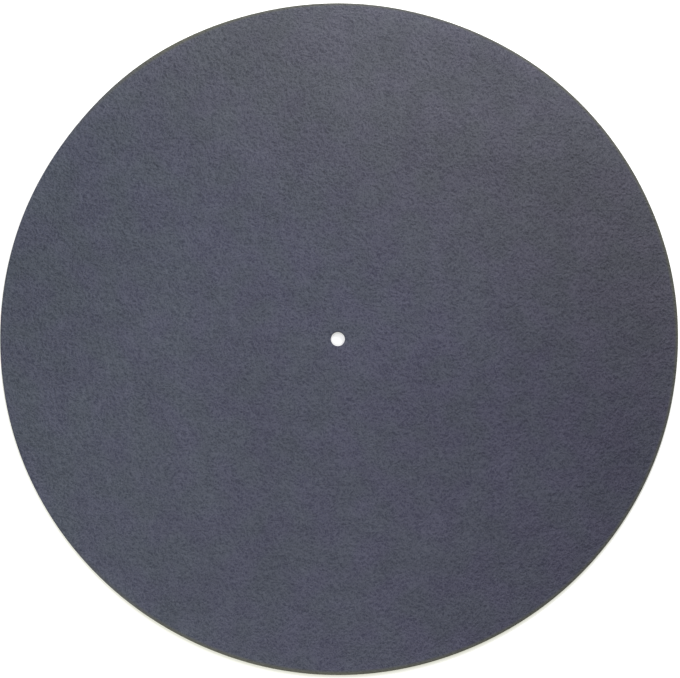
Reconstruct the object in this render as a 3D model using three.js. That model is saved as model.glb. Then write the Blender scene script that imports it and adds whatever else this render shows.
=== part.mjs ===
import * as THREE from 'three';

// A slip mat of pressed felt for a record player's platter: one thin disc, die-cut from sheet, with a
// small round hole at its centre for the spindle. Millimetres, +Z up. The origin is on the axis of the
// hole, at the level of the underside, where the mat lies on the platter.

// Sizes
const matDiameter = 300;
const spindleHoleDiameter = 6.2;
const feltThickness = 2;

// The die's blade rolls the felt over a little where it enters, and less where it leaves. A rounding
// takes at most this share of the thickness, so that the cut face between the two always remains.
const topEdgeRounding = 0.5;
const undersideEdgeRounding = 0.3;
const roundingLimit = 0.45;

// Fineness of the faceted surface
const facetsAroundAxis = 180;
const facetsPerRounding = 3;

// Felt
const feltColour = '#535663';
const feltRoughness = 0.95;

const matRadius = matDiameter / 2;
const holeRadius = spindleHoleDiameter / 2;

// A quarter turn about a centre in the section, anticlockwise from the direction given in degrees.
function roundedCorner(centreX, centreZ, rounding, fromDegrees) {
  const points = [];
  for (let step = 0; step <= facetsPerRounding; step += 1) {
    const angle = THREE.MathUtils.degToRad(fromDegrees + (90 * step) / facetsPerRounding);
    const x = centreX + rounding * Math.cos(angle);
    const z = centreZ + rounding * Math.sin(angle);
    points.push(new THREE.Vector2(x, z));
  }
  return points;
}

// The felt's section from hole to rim, anticlockwise from the underside of the cut at the hole.
function feltSection() {
  const bottom = Math.min(undersideEdgeRounding, roundingLimit * feltThickness);
  const top = Math.min(topEdgeRounding, roundingLimit * feltThickness);
  const section = [
    ...roundedCorner(holeRadius + bottom, bottom, bottom, 180),
    ...roundedCorner(matRadius - bottom, bottom, bottom, 270),
    ...roundedCorner(matRadius - top, feltThickness - top, top, 0),
    ...roundedCorner(holeRadius + top, feltThickness - top, top, 90),
  ];
  section.push(section[0].clone());
  return section;
}

// Turned about the hole's axis. A lathe turns about Y, so the ring is stood up onto Z.
function feltDisc() {
  const geometry = new THREE.LatheGeometry(feltSection(), facetsAroundAxis);
  geometry.rotateX(Math.PI / 2);
  return geometry;
}

function feltMaterial() {
  return new THREE.MeshStandardMaterial({
    color: feltColour,
    roughness: feltRoughness,
    metalness: 0,
  });
}

const mat = new THREE.Mesh(feltDisc(), feltMaterial());
mat.name = 'felt_mat';

const group = new THREE.Group();
group.add(mat);

export default group;
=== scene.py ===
import math

import bpy
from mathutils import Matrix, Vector


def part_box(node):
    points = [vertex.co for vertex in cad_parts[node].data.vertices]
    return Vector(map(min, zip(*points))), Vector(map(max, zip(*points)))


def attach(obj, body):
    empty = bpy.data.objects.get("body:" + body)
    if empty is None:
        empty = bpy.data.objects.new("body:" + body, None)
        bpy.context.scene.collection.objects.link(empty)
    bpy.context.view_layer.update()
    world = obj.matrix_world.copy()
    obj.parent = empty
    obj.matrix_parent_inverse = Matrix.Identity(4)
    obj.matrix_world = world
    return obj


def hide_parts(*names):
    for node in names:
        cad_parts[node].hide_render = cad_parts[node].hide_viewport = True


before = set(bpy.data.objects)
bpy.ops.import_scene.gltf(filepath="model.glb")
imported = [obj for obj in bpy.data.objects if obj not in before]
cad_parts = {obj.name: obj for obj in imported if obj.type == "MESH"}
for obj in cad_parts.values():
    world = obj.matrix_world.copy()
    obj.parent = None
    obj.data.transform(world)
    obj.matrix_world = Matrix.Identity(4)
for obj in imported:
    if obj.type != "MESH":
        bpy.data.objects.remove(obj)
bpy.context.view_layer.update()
matLow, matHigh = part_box("felt_mat")
rimRadius = (matHigh[0] - matLow[0]) / 2
feltThickness = matHigh[2] - matLow[2]
mm = 0.001  # everything below is in metres
print("frame loaded:", round(2 * rimRadius / mm), "mm wide,", round(feltThickness / mm, 1), "mm thick")


# Helpers

def linearColour(hexCode):
    parts = [int(hexCode[i : i + 2], 16) / 255 for i in (1, 3, 5)]
    linear = [c / 12.92 if c <= 0.04045 else ((c + 0.055) / 1.055) ** 2.4 for c in parts]
    return (*linear, 1)


def addNode(tree, kind, settings=None, inputs=None):
    node = tree.nodes.new(kind)
    for name, value in (settings or {}).items():
        setattr(node, name, value)
    for name, value in (inputs or {}).items():
        if isinstance(value, bpy.types.NodeSocket):
            tree.links.new(value, node.inputs[name])
        else:
            node.inputs[name].default_value = value
    return node


def emptyMaterial(name):
    material = bpy.data.materials.new(name)
    material.use_nodes = True
    material.node_tree.nodes.clear()
    return material


def selectVertices(mesh, isWanted):
    bpy.ops.mesh.select_mode(type="VERT")
    bpy.ops.mesh.select_all(action="DESELECT")
    bpy.ops.object.mode_set(mode="OBJECT")
    for vertex in mesh.vertices:
        vertex.select = isWanted(vertex.co)
    bpy.ops.object.mode_set(mode="EDIT")


# The mat's shape: half its section is drawn, then spun round the spindle hole

matSizes = {
    "holeWidth": 6.2 * mm,  # a quarter-inch punch, read off the photo
    "topRoll": 0.45 * mm,  # the die rolls the felt over where it enters
    "undersideRoll": 0.3 * mm,
    "rollSteps": 4,
    "wallCuts": 2,
    "ringGap": 1.8 * mm,
    "supportGap": 0.3 * mm,  # a close ring inside each rolled edge keeps the face beside it flat
    "turnSteps": 360,
    "weldGap": 0.002 * mm,
    "rimDrop": 0.38 * mm,  # the die leaves the felt thinner towards the rim
    "rimDropGrip": 0.495 * mm,
    "rimDropReach": 8 * mm,
    "holeStretch": 1.04,  # the soft hole is pulled a little longer than wide
    "pullGrip": 4 * mm,
    "unevenDepth": 0.13 * mm,  # pressed felt is never of quite one thickness
    "unevenSpacing": 22 * mm,
    "unevenDetail": 2,
}
holeRadius = matSizes["holeWidth"] / 2


def drawSection():
    bpy.ops.object.select_all(action="DESELECT")
    middle = ((rimRadius + holeRadius) / 2, 0, feltThickness / 2)
    bpy.ops.mesh.primitive_plane_add(size=1, location=middle, rotation=(math.pi / 2, 0, 0))
    section = bpy.context.object
    section.name = "pressed_felt_mat"
    section.scale = (rimRadius - holeRadius, feltThickness, 1)
    bpy.ops.object.transform_apply(location=True, rotation=True, scale=True)
    return section


def rollEdges(section):
    for roll, isTop in ((matSizes["topRoll"], True), (matSizes["undersideRoll"], False)):
        selectVertices(section.data, lambda place: (place.z > feltThickness / 2) == isTop)
        bpy.ops.mesh.bevel(affect="VERTICES", offset=roll, segments=matSizes["rollSteps"])


def cutRings(section):
    flatEnds = matSizes["topRoll"] + matSizes["supportGap"]
    first = holeRadius + flatEnds
    last = rimRadius - flatEnds
    rings = round((last - first) / matSizes["ringGap"])
    for i in range(rings + 1):
        x = first + (last - first) * i / rings
        bpy.ops.mesh.select_all(action="SELECT")
        bpy.ops.mesh.bisect(plane_co=(x, 0, 0), plane_no=(1, 0, 0))
    wall = feltThickness - matSizes["topRoll"] - matSizes["undersideRoll"]
    for i in range(matSizes["wallCuts"]):
        z = matSizes["undersideRoll"] + wall * (i + 1) / (matSizes["wallCuts"] + 1)
        bpy.ops.mesh.select_all(action="SELECT")
        bpy.ops.mesh.bisect(plane_co=(0, 0, z), plane_no=(0, 0, 1))


def thinRim(section):
    upper = feltThickness / 2
    selectVertices(section.data, lambda place: place.z < upper)
    bpy.ops.mesh.hide(unselected=False)
    edge = rimRadius - matSizes["rimDropGrip"]
    selectVertices(section.data, lambda place: place.z > upper and place.x > edge)
    bpy.ops.transform.translate(
        value=(0, 0, -matSizes["rimDrop"]),
        use_proportional_edit=True,
        proportional_edit_falloff="SHARP",
        proportional_size=matSizes["rimDropReach"],
    )
    bpy.ops.mesh.reveal(select=False)


def spinSection():
    bpy.ops.mesh.select_all(action="SELECT")
    bpy.ops.mesh.spin(steps=matSizes["turnSteps"], angle=math.tau, center=(0, 0, 0), axis=(0, 0, 1))
    bpy.ops.mesh.select_all(action="SELECT")
    bpy.ops.mesh.remove_doubles(threshold=matSizes["weldGap"])
    bpy.ops.mesh.normals_make_consistent(inside=False)


# Shallow waves that handling leaves in a soft mat. Ends are in mm from the spindle.
handlingWaves = [
    {"ends": ((-12, 128), (-1, 76)), "reach": 27 * mm, "lift": 2.15 * mm},
    {"ends": ((2, 99), (100, 85)), "reach": 24 * mm, "lift": 1.35 * mm},
    {"ends": ((-55, 95), (-39, 71)), "reach": 13 * mm, "lift": 1.05 * mm},
    {"ends": ((91, 118), (121, 72)), "reach": 27 * mm, "lift": 0.6 * mm},
    {"ends": ((-10, 87), (8, 140)), "reach": 23 * mm, "lift": 1.0 * mm},
    {"ends": ((-43, 129), (24, 135)), "reach": 23 * mm, "lift": 1.0 * mm},
]


def alongWave(place, wave):
    start, end = (Vector(corner) * mm for corner in wave["ends"])
    flat = Vector((place.x, place.y))
    share = (flat - start).dot(end - start) / (end - start).length_squared
    nearest = start + (end - start) * min(max(share, 0), 1)
    return (flat - nearest).length < matSizes["ringGap"]


def liftWaves(felt):
    for wave in handlingWaves:
        selectVertices(felt.data, lambda place: alongWave(place, wave))
        bpy.ops.transform.translate(
            value=(0, 0, wave["lift"]),
            use_proportional_edit=True,
            proportional_edit_falloff="SMOOTH",
            proportional_size=wave["reach"],
        )


# A soft mat is never quite round, nor its hole quite in the middle. Places and pulls are in mm.
softPulls = [
    {"place": (-84, 124), "pull": (-0.36, 0.55), "reach": 52 * mm},
    {"place": (-150, 0), "pull": (0.38, 0), "reach": 60 * mm},
    {"place": (-4, -150), "pull": (0, -0.34), "reach": 75 * mm},
    {"place": (39, 145), "pull": (-0.07, -0.26), "reach": 75 * mm},
    {"place": (148, 25), "pull": (0.2, 0.03), "reach": 50 * mm},
    {"place": (0, 0), "pull": (-0.33, -0.48), "reach": 16 * mm},
]


def pullOutline(felt):
    for pull in softPulls:
        middle = Vector(pull["place"]) * mm
        selectVertices(felt.data, lambda place: (place.xy - middle).length < matSizes["pullGrip"])
        bpy.ops.transform.translate(
            value=(pull["pull"][0] * mm, pull["pull"][1] * mm, 0),
            use_proportional_edit=True,
            proportional_edit_falloff="SMOOTH",
            proportional_size=pull["reach"],
        )


def stretchHole(felt):
    selectVertices(felt.data, lambda place: place.xy.length < matSizes["pullGrip"])
    bpy.ops.transform.resize(
        value=(1, matSizes["holeStretch"], 1),
        center_override=(0, 0, 0),
        use_proportional_edit=True,
        proportional_edit_falloff="SMOOTH",
        proportional_size=matSizes["pullGrip"],
    )


def roughenFaces(felt):
    clouds = bpy.data.textures.new("feltUnevenness", "CLOUDS")
    clouds.noise_scale = matSizes["unevenSpacing"]
    clouds.noise_depth = matSizes["unevenDetail"]
    swell = felt.modifiers.new("unevenness", "DISPLACE")
    swell.texture = clouds
    swell.texture_coords = "LOCAL"
    swell.direction = "Z"
    swell.mid_level = 0
    swell.strength = matSizes["unevenDepth"]
    bpy.ops.object.modifier_apply(modifier=swell.name)


def makeMat():
    felt = drawSection()
    bpy.ops.object.mode_set(mode="EDIT")
    rollEdges(felt)
    bpy.ops.mesh.select_all(action="SELECT")
    bpy.ops.mesh.delete(type="ONLY_FACE")
    cutRings(felt)
    thinRim(felt)
    spinSection()
    stretchHole(felt)
    pullOutline(felt)
    liftWaves(felt)
    bpy.ops.object.mode_set(mode="OBJECT")
    roughenFaces(felt)
    bpy.ops.object.shade_smooth()
    bpy.ops.mesh.uv_texture_remove()
    print("mat modelled:", len(felt.data.polygons), "faces")
    return felt


# Pressed wool felt: carded wool matted under heat and pressure, with strands lying flat in every
# direction. It has no gloss, and lamp light from one side picks out the strands that lie across it.
feltLook = {
    "paleWool": "#676A76",
    "darkWool": "#4F525F",
    "rimWool": "#6F7066",
    "rimToneStretch": (148.4, 149.8),  # mm from the spindle
    "rimToneLeft": (-125, -75),  # mm across, the stretch where the left rim's tone fades in
    "wornStretch": (140, 152),  # mm from the spindle; painted glow: the felt is drawn paler towards the rim, where light from the white sheet flares over it
    "rimGlowValue": (1, 1.09),
    "strandLength": 3.6,  # mm; a strand is 0.03 mm thick, so the tufts that the picture can show are drawn
    "strandWidth": 1.04,
    "strandDepth": 0.6,
    "strandEdge": 0.044,  # how far the noise runs from its middle value inside a strand
    "layCount": 5,
    "layShift": (37, 11, 5),  # mm from one lay's noise to the next, so that no two are alike
    "bend": 1.6,  # mm that a strand wanders
    "bendSpacing": 7,
    "relief": 0.72 * mm,
    "dyeSpacing": 13,
    "dyeHue": 0.024,
    "dyeStrength": 0.066,
    "dyeTone": 0.05,  # evens out the tone that the hue's own drift would change
    "mattingSpacing": 8,
    "mattingTone": 0.06,  # felt that is matted more tightly in some spots
    "lightTintStretch": (-150, 150),  # mm across; painted light tint: the felt turns a little redder from left to right, for warmer light on the right and cooler on the left
    "lightTintHue": (0.491, 0.529),
    "paintedSheenDirection": (0.48, 0.88, 0),  # painted sheen: the felt pales towards the side that faces the key lamp, where its fibres catch the light
    "paintedSheenStretch": (5, 115),
    "paintedSheenSaturation": (1.15, 0.81),
    "paintedSheenValue": (1.035, 0.945),  # keeps the painted sheen's side as dark as the rest
    "napSpacing": 60,
    "napPlace": (1483, -437, 450),  # the stretch of the noise that lies like the rubbed nap of this mat
    "napTone": 0.08,
    "napDetail": 2.0,
    "patchRange": (0.35, 0.65),  # most of a noise lies between these values
    "roughness": 0.95,
    "diffuseRoughness": 1.0,
    "gloss": 0.15,
    "sheen": 0.08,  # the loose fibre ends on top
    "sheenRoughness": 0.5,
}
noiseMiddle = 0.5


def placeInMm(tree):
    place = addNode(tree, "ShaderNodeTexCoord")
    scaled = addNode(
        tree,
        "ShaderNodeMapping",
        inputs={"Vector": place.outputs["Object"], "Scale": (1 / mm, 1 / mm, 1 / mm)},
    )
    return scaled.outputs["Vector"]


def wanderingPlace(tree, place):
    drift = addNode(
        tree,
        "ShaderNodeTexNoise",
        inputs={"Vector": place, "Scale": 1 / feltLook["bendSpacing"], "Detail": 1.0},
    )
    centred = addNode(
        tree,
        "ShaderNodeVectorMath",
        {"operation": "SUBTRACT"},
        {0: drift.outputs["Color"], 1: (noiseMiddle, noiseMiddle, noiseMiddle)},
    )
    reach = feltLook["bend"] / noiseMiddle
    moved = addNode(
        tree,
        "ShaderNodeVectorMath",
        {"operation": "MULTIPLY_ADD"},
        {0: centred.outputs["Vector"], 1: (reach, reach, 0), 2: place},
    )
    return moved.outputs["Vector"]


def strandLay(tree, place, index):
    turn = math.pi * index / feltLook["layCount"]
    aligned = addNode(
        tree,
        "ShaderNodeMapping",
        {"vector_type": "TEXTURE"},
        {
            "Vector": place,
            "Location": tuple(shift * index for shift in feltLook["layShift"]),
            "Rotation": (0, 0, turn),
            "Scale": (feltLook["strandLength"], feltLook["strandWidth"], feltLook["strandDepth"]),
        },
    )
    lay = addNode(
        tree,
        "ShaderNodeTexNoise",
        inputs={"Vector": aligned.outputs["Vector"], "Scale": 1.0, "Detail": 1.0},
    )
    return lay.outputs["Fac"]


# A strand runs where the noise of its lay crosses its middle value
def strandLine(tree, lay):
    away = addNode(tree, "ShaderNodeMath", {"operation": "SUBTRACT"}, {0: lay, 1: noiseMiddle})
    distance = addNode(tree, "ShaderNodeMath", {"operation": "ABSOLUTE"}, {0: away.outputs["Value"]})
    line = addNode(
        tree,
        "ShaderNodeMapRange",
        {"interpolation_type": "SMOOTHSTEP"},
        {
            "Value": distance.outputs["Value"],
            "From Max": feltLook["strandEdge"],
            "To Min": 1.0,
            "To Max": 0.0,
        },
    )
    return line.outputs["Result"]


def joined(tree, operation, values):
    result = values[0]
    for value in values[1:]:
        step = addNode(tree, "ShaderNodeMath", {"operation": operation}, {0: result, 1: value})
        result = step.outputs["Value"]
    return result


def ramp(tree, value, stretch, ends, shape="LINEAR"):
    node = addNode(
        tree,
        "ShaderNodeMapRange",
        {"interpolation_type": shape},
        {
            "Value": value,
            "From Min": stretch[0],
            "From Max": stretch[1],
            "To Min": ends[0],
            "To Max": ends[1],
        },
    )
    return node.outputs["Result"]


# Soft patches that vary a value by the given swing about its middle
def patches(tree, place, spacing, middle, swing, detail=0.0):
    cloud = addNode(
        tree,
        "ShaderNodeTexNoise",
        inputs={"Vector": place, "Scale": 1 / spacing, "Detail": detail},
    )
    ends = (middle - swing / 2, middle + swing / 2)
    return ramp(tree, cloud.outputs["Fac"], feltLook["patchRange"], ends)


def fromSpindle(tree, place):
    distance = addNode(tree, "ShaderNodeVectorMath", {"operation": "LENGTH"}, {0: place})
    return distance.outputs["Value"]


def across(tree, place):
    parts = addNode(tree, "ShaderNodeSeparateXYZ", inputs={"Vector": place})
    return parts.outputs["X"]


# Random dye spots, plus a painted light tint: the felt is drawn redder to the right, under warmer light,
# and bluer to the left
def dyeHue(tree, place):
    drift = ramp(tree, across(tree, place), feltLook["lightTintStretch"], feltLook["lightTintHue"])
    spots = patches(tree, place, feltLook["dyeSpacing"], 0, feltLook["dyeHue"])
    return joined(tree, "ADD", [drift, spots])


# Painted sheen: a ramp towards the key lamp, along which the felt is drawn paler, as where its fibres
# catch that light
def paintedSheen(tree, place, ends):
    towardsLight = addNode(
        tree,
        "ShaderNodeVectorMath",
        {"operation": "DOT_PRODUCT"},
        {0: place, 1: feltLook["paintedSheenDirection"]},
    )
    return ramp(tree, towardsLight.outputs["Value"], feltLook["paintedSheenStretch"], ends, "SMOOTHSTEP")


# Random dye spots, times the painted sheen's paling towards the key lamp
def dyeStrength(tree, place):
    spots = patches(tree, place, feltLook["dyeSpacing"], 1.0, feltLook["dyeStrength"])
    return joined(tree, "MULTIPLY", [paintedSheen(tree, place, feltLook["paintedSheenSaturation"]), spots])


# Random nap, matting and dye tone, times a painted glow towards the rim and the painted sheen's darkening
def napTone(tree, place):
    napPlace = addNode(
        tree,
        "ShaderNodeMapping",
        inputs={"Vector": place, "Location": feltLook["napPlace"]},
    )
    rubbed = napPlace.outputs["Vector"]
    nap = patches(tree, rubbed, feltLook["napSpacing"], 1.0, feltLook["napTone"], feltLook["napDetail"])
    matting = patches(tree, rubbed, feltLook["mattingSpacing"], 1.0, feltLook["mattingTone"])
    dye = patches(tree, place, feltLook["dyeSpacing"], 1.0, feltLook["dyeTone"])
    distance = fromSpindle(tree, place)
    worn = ramp(tree, distance, feltLook["wornStretch"], feltLook["rimGlowValue"], "SMOOTHSTEP")
    paintedSheenTone = paintedSheen(tree, place, feltLook["paintedSheenValue"])
    return joined(tree, "MULTIPLY", [nap, matting, dye, worn, paintedSheenTone])


def woolColour(tree, place, strands):
    wool = addNode(
        tree,
        "ShaderNodeMix",
        {"data_type": "RGBA"},
        {
            "Factor": strands,
            6: linearColour(feltLook["darkWool"]),
            7: linearColour(feltLook["paleWool"]),
        },
    )
    uneven = addNode(
        tree,
        "ShaderNodeHueSaturation",
        inputs={
            "Color": wool.outputs[2],
            "Hue": dyeHue(tree, place),
            "Saturation": dyeStrength(tree, place),
            "Value": napTone(tree, place),
        },
    )
    return uneven.outputs["Color"]


# The felt turns olive grey along the cut rim, least along its left side
def oliveRim(tree, place, wool):
    nearRim = ramp(tree, fromSpindle(tree, place), feltLook["rimToneStretch"], (0, 1))
    offLeft = ramp(tree, across(tree, place), feltLook["rimToneLeft"], (0, 1))
    tone = addNode(
        tree,
        "ShaderNodeMix",
        {"data_type": "RGBA"},
        {
            "Factor": joined(tree, "MULTIPLY", [nearRim, offLeft]),
            6: wool,
            7: linearColour(feltLook["rimWool"]),
        },
    )
    return tone.outputs[2]


def pressedFelt():
    material = emptyMaterial("pressedWoolFelt")
    tree = material.node_tree
    place = placeInMm(tree)
    wandering = wanderingPlace(tree, place)
    lays = [strandLay(tree, wandering, index) for index in range(feltLook["layCount"])]
    strands = joined(tree, "MAXIMUM", [strandLine(tree, lay) for lay in lays])
    relief = addNode(
        tree,
        "ShaderNodeBump",
        inputs={"Height": joined(tree, "ADD", lays), "Strength": 1.0, "Distance": feltLook["relief"]},
    )
    shader = addNode(
        tree,
        "ShaderNodeBsdfPrincipled",
        inputs={
            "Base Color": oliveRim(tree, place, woolColour(tree, place, strands)),
            "Roughness": feltLook["roughness"],
            "Specular IOR Level": feltLook["gloss"],
            "Diffuse Roughness": feltLook["diffuseRoughness"],
            "Sheen Weight": feltLook["sheen"],
            "Sheen Roughness": feltLook["sheenRoughness"],
            "Normal": relief.outputs["Normal"],
        },
    )
    addNode(tree, "ShaderNodeOutputMaterial", inputs={"Surface": shader.outputs["BSDF"]})
    return material


feltMat = makeMat()
feltMat.data.materials.append(pressedFelt())
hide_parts("felt_mat")
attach(feltMat, "root")
print("felt laid")


# White sheet that the mat lies on. It glows a little, so it shows white all over. Its glow is turned down
# in the spindle hole and in a ring round the mat's rim as painted shade, which deepens the mat's shadow
# there and tints it yellow.
floorLook = {
    "width": 6.0,
    "paint": "#E1E1DE",
    "glows": ("#AAAAAD", "#939480", "#EAEAEA"),  # in the hole and at the mat's rim, turned down there as painted shade and tinted yellow at the rim, and further off
    "holeShadeReach": (0.004, 0.008),  # metres from the shade's middle, where one glow turns into the next
    "rimShadeReach": (0.14755, 0.15067),
    "shadeMiddle": (-0.0004, -0.0029, 0),
}


def glowStep(tree, distance, reach, inner, outer):
    step = addNode(
        tree,
        "ShaderNodeMix",
        {"data_type": "RGBA"},
        {"Factor": ramp(tree, distance, reach, (0, 1)), 6: inner, 7: outer},
    )
    return step.outputs[2]


def whiteSheet():
    material = emptyMaterial("whiteSheet")
    tree = material.node_tree
    paint = addNode(
        tree,
        "ShaderNodeBsdfDiffuse",
        inputs={"Color": linearColour(floorLook["paint"])},
    )
    place = addNode(tree, "ShaderNodeTexCoord")
    away = addNode(
        tree,
        "ShaderNodeVectorMath",
        {"operation": "DISTANCE"},
        {0: place.outputs["Object"], 1: floorLook["shadeMiddle"]},
    )
    distance = away.outputs["Value"]
    # painted shade: the hole's glow and the rim's yellowish glow are lower than the glow further off
    holeShadeGlow, rimShadeGlow, wellOff = [linearColour(hexCode) for hexCode in floorLook["glows"]]
    glow = glowStep(tree, distance, floorLook["holeShadeReach"], holeShadeGlow, rimShadeGlow)
    glow = glowStep(tree, distance, floorLook["rimShadeReach"], glow, wellOff)
    rays = addNode(tree, "ShaderNodeLightPath")
    shine = addNode(
        tree,
        "ShaderNodeEmission",
        inputs={"Color": glow, "Strength": rays.outputs["Is Camera Ray"]},
    )
    both = addNode(
        tree,
        "ShaderNodeAddShader",
        inputs={0: paint.outputs["BSDF"], 1: shine.outputs["Emission"]},
    )
    addNode(tree, "ShaderNodeOutputMaterial", inputs={"Surface": both.outputs["Shader"]})
    return material


def layFloor():
    bpy.ops.object.select_all(action="DESELECT")
    bpy.ops.mesh.primitive_plane_add(size=floorLook["width"])
    floor = bpy.context.object
    floor.name = "floor"
    floor.data.materials.append(whiteSheet())


layFloor()


# Three lamps low over the mat, the main one beyond it to the right, as on a copy stand. In metres.
lamps = {
    "key": {"place": (0.177, 0.338, 0.277), "aim": (-0.15, 0.15, 0), "width": 0.14, "watts": 1.396},
    "back": {"place": (-0.039, 0.137, 0.321), "aim": (-0.15, 0.15, 0), "width": 0.12, "watts": 0.338},
    "fill": {"place": (-0.076, -0.227, 0.338), "aim": (-0.15, -0.15, 0), "width": 0.12, "watts": 0.603},
}
roomLight = 0.22


def hangLamp(name, lamp):
    aim = Vector(lamp["place"]) - Vector(lamp["aim"])
    turn = aim.to_track_quat("Z", "Y").to_euler()
    bpy.ops.object.light_add(type="AREA", location=lamp["place"], rotation=turn)
    light = bpy.context.object
    light.name = name
    light.data.size = lamp["width"]
    light.data.energy = lamp["watts"]
    light.visible_camera = False


for lampName, lamp in lamps.items():
    hangLamp(lampName, lamp)


def lightRoom():
    world = bpy.data.worlds.new("paleRoom")
    bpy.context.scene.world = world
    world.use_nodes = True
    tree = world.node_tree
    tree.nodes.clear()
    rays = addNode(tree, "ShaderNodeLightPath")
    seen = addNode(
        tree,
        "ShaderNodeMapRange",
        inputs={"Value": rays.outputs["Is Camera Ray"], "To Min": roomLight, "To Max": 1.0},
    )
    sky = addNode(
        tree,
        "ShaderNodeBackground",
        inputs={"Color": (1, 1, 1, 1), "Strength": seen.outputs["Result"]},
    )
    addNode(tree, "ShaderNodeOutputWorld", inputs={"Surface": sky.outputs["Background"]})


lightRoom()
print("lamps and room lit")


# Camera: a long lens almost straight above. The photo's outline is 1% lower than it is wide, which is
# the mat seen from a little in front.
cameraView = {
    "elevation": math.radians(81.4),
    "distance": 12.0,
    "outlineWidth": 678.6,  # pixels
    "outlineMiddle": (338.6, 337.7),
}
imageWidth = 680
imageHeight = 678


def placeCamera():
    away = cameraView["distance"]
    tilt = cameraView["elevation"]
    top = Vector((0, 0, feltThickness))
    place = top + Vector((0, -away * math.cos(tilt), away * math.sin(tilt)))
    bpy.ops.object.camera_add(location=place, rotation=(math.pi / 2 - tilt, 0, 0))
    camera = bpy.context.object
    camera.name = "camera"
    frameWidth = 2 * rimRadius * imageWidth / cameraView["outlineWidth"]
    camera.data.lens = camera.data.sensor_width * away / frameWidth
    middleX, middleY = cameraView["outlineMiddle"]
    camera.data.shift_x = (imageWidth / 2 - middleX) / imageWidth
    camera.data.shift_y = (middleY - imageHeight / 2) / imageWidth
    camera.data.clip_end = 2 * away
    bpy.context.scene.camera = camera


placeCamera()
bpy.context.scene.view_settings.view_transform = "Standard"
print("camera set")
